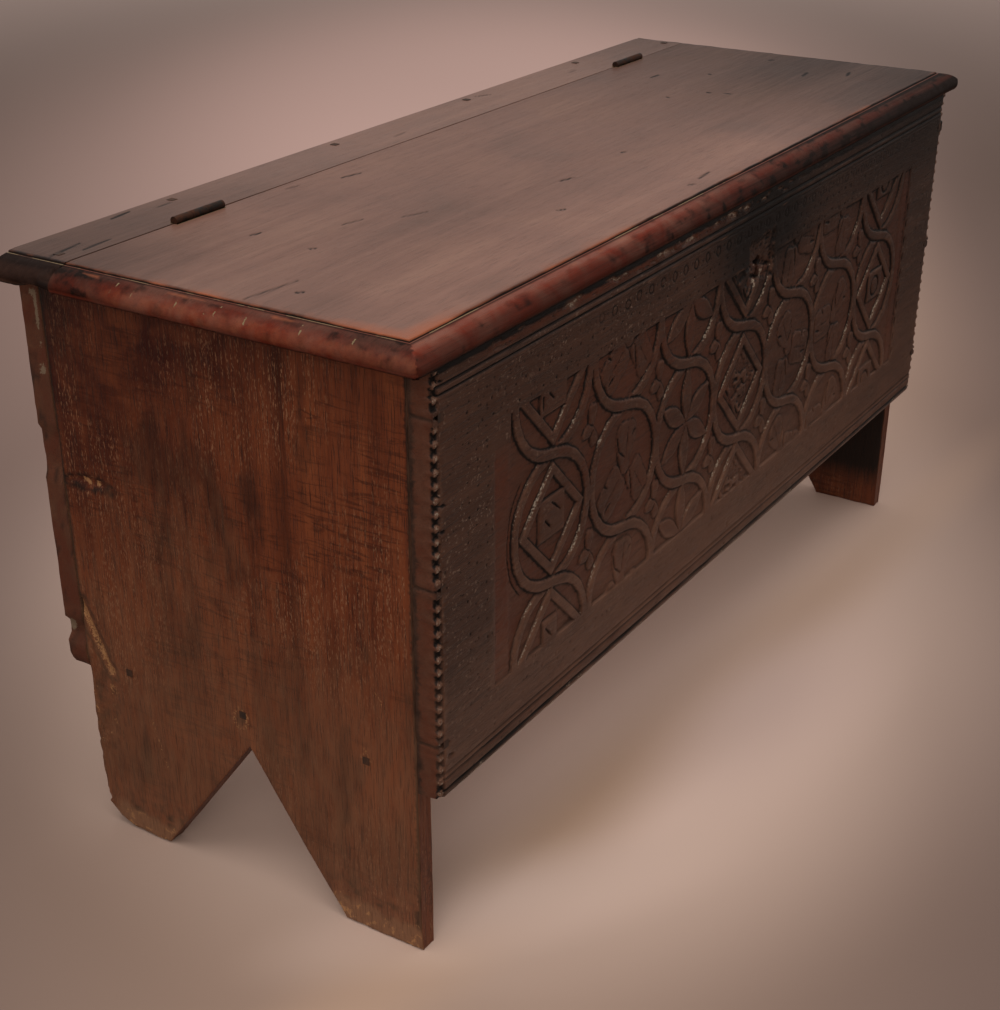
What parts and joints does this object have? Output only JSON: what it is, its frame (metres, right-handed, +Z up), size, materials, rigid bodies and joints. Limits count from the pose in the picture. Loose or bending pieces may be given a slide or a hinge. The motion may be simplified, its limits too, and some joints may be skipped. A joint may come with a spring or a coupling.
{
  "type": "coffer chest",
  "caption": "Low boarded oak chest with V-cut end feet, carved front board and moulded lid hinged to a fixed rear board; candle box and box lock inside.",
  "frame": {"origin": "floor level, centre of the overall box of the closed chest", "axes": "+X along the chest to the right seen from the front, +Y towards the back, +Z up; the carved front faces -Y"},
  "size_m": [1.26, 0.468, 0.6305],
  "materials": {
    "oak_lid": "old wax polish, satin, worn edges",
    "oak_front": "dark old wax polish over carving",
    "oak_end": "red-brown old wax polish",
    "oak_back": "bare, dry and dirty",
    "oak_inside": "bare, dry",
    "hinge_iron": "browned iron",
    "wrought_iron": "dark wrought iron"
  },
  "bodies": {
    "carcase": {"front_board": "oak_front", "back_board": "oak_back", "left_end_board": "oak_end", "right_end_board": "oak_end", "bottom_board": "oak_inside", "rear_lid_board": "oak_lid", "till_wall": "oak_inside", "till_floor": "oak_inside", "lock_plate": "wrought_iron", "lock_cover": "wrought_iron", "lock_bolt_keepers": "wrought_iron", "left_hinge_fixed_leaf": "hinge_iron", "right_hinge_fixed_leaf": "hinge_iron", "left_hinge_pin": "hinge_iron", "right_hinge_pin": "hinge_iron", "fixed_hinge_screws": "hinge_iron", "front_board_nails": "wrought_iron", "back_board_nails": "wrought_iron", "left_end_nails": "wrought_iron", "right_end_nails": "wrought_iron", "rear_lid_nails": "wrought_iron", "lock_plate_nails": "wrought_iron"},
    "lid": {"lid_board": "oak_lid", "left_hinge_lid_leaf": "hinge_iron", "right_hinge_lid_leaf": "hinge_iron", "lid_hinge_screws": "hinge_iron", "lid_staple": "wrought_iron", "lid_staple_nails": "wrought_iron"},
    "lock_bolt": {"lock_bolt": "wrought_iron"}
  },
  "joints": [
    {"name": "lid_hinge", "type": "hinge", "parent": "carcase", "child": "lid", "pos_m": [0, 0.163, 0.6263], "axis": [-1, 0, 0], "range_deg": [0, 180]},
    {"name": "bolt_slide", "type": "slide", "parent": "carcase", "child": "lock_bolt", "axis": [1, 0, 0], "range_m": [0, 0.02]}
  ]
}
